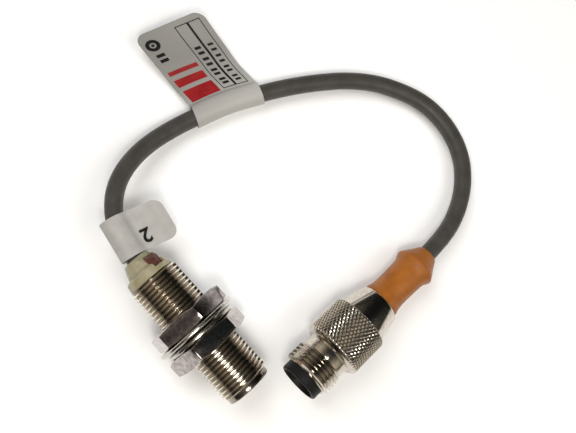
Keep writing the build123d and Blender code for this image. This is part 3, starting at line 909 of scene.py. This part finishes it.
def paint_nodes():
    """Materials for the CAD nodes whose shape is right."""
    face = plastic("face_plastic", (0.30, 0.10, 0.02), (0.38, 0.14, 0.03), (0.3, 0.45), 0.3, 0.01)
    ferrite = plastic("ferrite", (0.02, 0.02, 0.02), (0.05, 0.05, 0.05), (0.5, 0.7), 0.1, 0.01)
    bobbin = plastic("bobbin", (0.45, 0.42, 0.35), (0.6, 0.57, 0.5), (0.4, 0.5), 0.3, 0.01)
    copper = nickel("copper", (0.5, 0.2, 0.1), (0.7, 0.35, 0.2), (0.3, 0.4), 0.1, 0.002)
    spacer = plastic("spacer", (0.45, 0.42, 0.35), (0.6, 0.57, 0.5), (0.4, 0.5), 0.3, 0.01)
    board = plastic("board", (0.01, 0.08, 0.03), (0.02, 0.14, 0.05), (0.25, 0.4), 0.3, 0.01)
    led = plastic("led", (0.5, 0.04, 0.02), (0.6, 0.08, 0.04), (0.1, 0.2), 0.3, 0.005)
    wire = plastic("wire", (0.10, 0.04, 0.02), (0.16, 0.07, 0.03), (0.35, 0.5), 0.3, 0.01)
    potting = plastic("potting", (0.02, 0.02, 0.02), (0.04, 0.04, 0.04), (0.3, 0.5), 0.5, 0.02)
    gold = nickel("gold", (0.60, 0.40, 0.14), (0.80, 0.58, 0.24), (0.15, 0.3), 0.1, 0.001)
    seal = plastic("seal", (0.01, 0.01, 0.01), (0.02, 0.02, 0.02), (0.4, 0.6), 0.3, 0.01)
    steel = nickel("clip", (0.44, 0.42, 0.38), (0.66, 0.63, 0.58), (0.2, 0.3), 0.2, 0.002)
    chip = plastic("chip_body", (0.01, 0.01, 0.01), (0.03, 0.03, 0.03), (0.4, 0.6), 0.2, 0.01)
    ceramic = plastic("ceramic", (0.25, 0.16, 0.08), (0.36, 0.24, 0.14), (0.4, 0.6), 0.2, 0.01)

    paint(face, "sensing_face_cap")
    paint(ferrite, "ferrite_core")
    paint(bobbin, "coil_bobbin")
    paint(copper, "coil_winding")
    paint(spacer, "core_spacer")
    paint(board, "circuit_board")
    paint(led, "status_led")
    paint(wire, "sensor_wires", "connector_wires")
    paint(potting, "potting_compound", "inner_mould")
    paint(gold, "contact_pins")
    paint(seal, "carrier_seal")
    paint(steel, "retaining_clip", "crimp_sleeve")
    paint(chip, "oscillator_chip", "driver_chip", "switching_transistors", "resistors")
    paint(ceramic, "capacitors")


# ---------------------------------------------------------------- stage and light
PAPER = (0.87, 0.87, 0.87)
# the floor's colour far from the part: painted shade
SHADED_FAR_PAPER = (0.50, 0.50, 0.50)


def make_stage():
    """A paper floor with painted shade that darkens it with the distance from the part, in metres."""
    half = 3.0
    corners = [(-half, -half, 0), (half, -half, 0), (half, half, 0), (-half, half, 0)]
    floor = new_piece("floor", corners, [(0, 1, 2, 3)])
    look = Look("floor_paper", PAPER, Roughness=0.9)
    distance = look.node("ShaderNodeVectorMath", operation="LENGTH")
    look.link(look.place, distance.inputs[0])
    look.vary("Base Color", distance.outputs["Value"], (0.14, PAPER), (0.60, SHADED_FAR_PAPER))
    floor.data.materials.append(look.material)


def area_light(name, place, target, size, power, color):
    """A square soft light at a place in mm, aimed at a target in mm."""
    data = bpy.data.lights.new(name, "AREA")
    data.shape = "RECTANGLE"
    data.size = data.size_y = size * MM
    data.energy = power
    data.color = color
    light = bpy.data.objects.new(name, data)
    bpy.context.scene.collection.objects.link(light)
    light.location = Vector(place) * MM
    light.rotation_mode = "QUATERNION"
    light.rotation_quaternion = (Vector(target) - Vector(place)).to_track_quat("-Z", "Y")
    return light


# What metal sees of the room: soft patches by direction, sharpness and colour
ROOM_DARK = (0.008, 0.009, 0.009)
ROOM_PATCHES = (
    ((0, -0.50, 0.87), 22, (0.060, 0.042, 0.042)),
    ((0, 0.34, 0.94), 26, (0.016, 0.022, 0.023)),
    ((0.84, -0.20, 0.50), 8, (0.62, 0.54, 0.43)),
    ((-0.84, -0.20, 0.50), 8, (0.62, 0.54, 0.43)),
    ((0.55, -0.62, 0.56), 14, (0.30, 0.27, 0.23)),
    ((-0.55, -0.62, 0.56), 14, (0.30, 0.27, 0.23)),
    ((0.72, 0.45, 0.53), 16, (0.16, 0.15, 0.13)),
    ((-0.72, 0.45, 0.53), 16, (0.16, 0.15, 0.13)),
)


def make_room():
    """A dark room with a few dim patches that give the plated metal its greys."""
    world = bpy.data.worlds.new("room")
    world.use_nodes = True
    tree = world.node_tree

    def step(kind, operation, source, target=0):
        made = tree.nodes.new(kind)
        made.operation = operation
        tree.links.new(source, made.inputs[target])
        return made

    view = tree.nodes.new("ShaderNodeTexCoord").outputs["Generated"]
    total = None
    for direction, sharpness, color in ROOM_PATCHES:
        facing = step("ShaderNodeVectorMath", "DOT_PRODUCT", view)
        facing.inputs[1].default_value = Vector(direction).normalized()
        front = step("ShaderNodeMath", "MAXIMUM", facing.outputs["Value"])
        front.inputs[1].default_value = 0.0
        glow = step("ShaderNodeMath", "POWER", front.outputs["Value"])
        glow.inputs[1].default_value = sharpness
        patch = step("ShaderNodeVectorMath", "SCALE", glow.outputs["Value"], "Scale")
        patch.inputs[0].default_value = color
        add = step("ShaderNodeVectorMath", "ADD", patch.outputs["Vector"])
        add.inputs[1].default_value = ROOM_DARK
        if total:
            tree.links.new(total, add.inputs[1])
        total = add.outputs["Vector"]
    tree.links.new(total, tree.nodes["Background"].inputs["Color"])
    bpy.context.scene.world = world


def make_light():
    """A small key light close to the camera, and two wide dim ones that mirrors don't show."""
    area_light("key", (28.7, -24, 169), (0, 30, 0), size=44, power=0.13, color=(1.0, 0.97, 0.92))
    middle = (0, 40, 0)
    fill = area_light("fill", (-300, 60, 420), middle, size=360, power=1.8, color=(0.97, 0.98, 1.0))
    rim = area_light("rim", (300, 200, 420), middle, size=360, power=1.45, color=(1.0, 0.98, 0.95))
    for light in (fill, rim):
        light.visible_glossy = False
    bpy.context.scene.view_settings.view_transform = "Standard"


# ---------------------------------------------------------------- build
add_camera()
cable = make_cable()
make_barrel()
make_fasteners()
make_rear_cap()
make_sleeve()
make_carrier()
make_boot()
label_pieces = [*make_type_label(), *make_marker_label()]
paint_nodes()
make_stage()
make_room()
make_light()
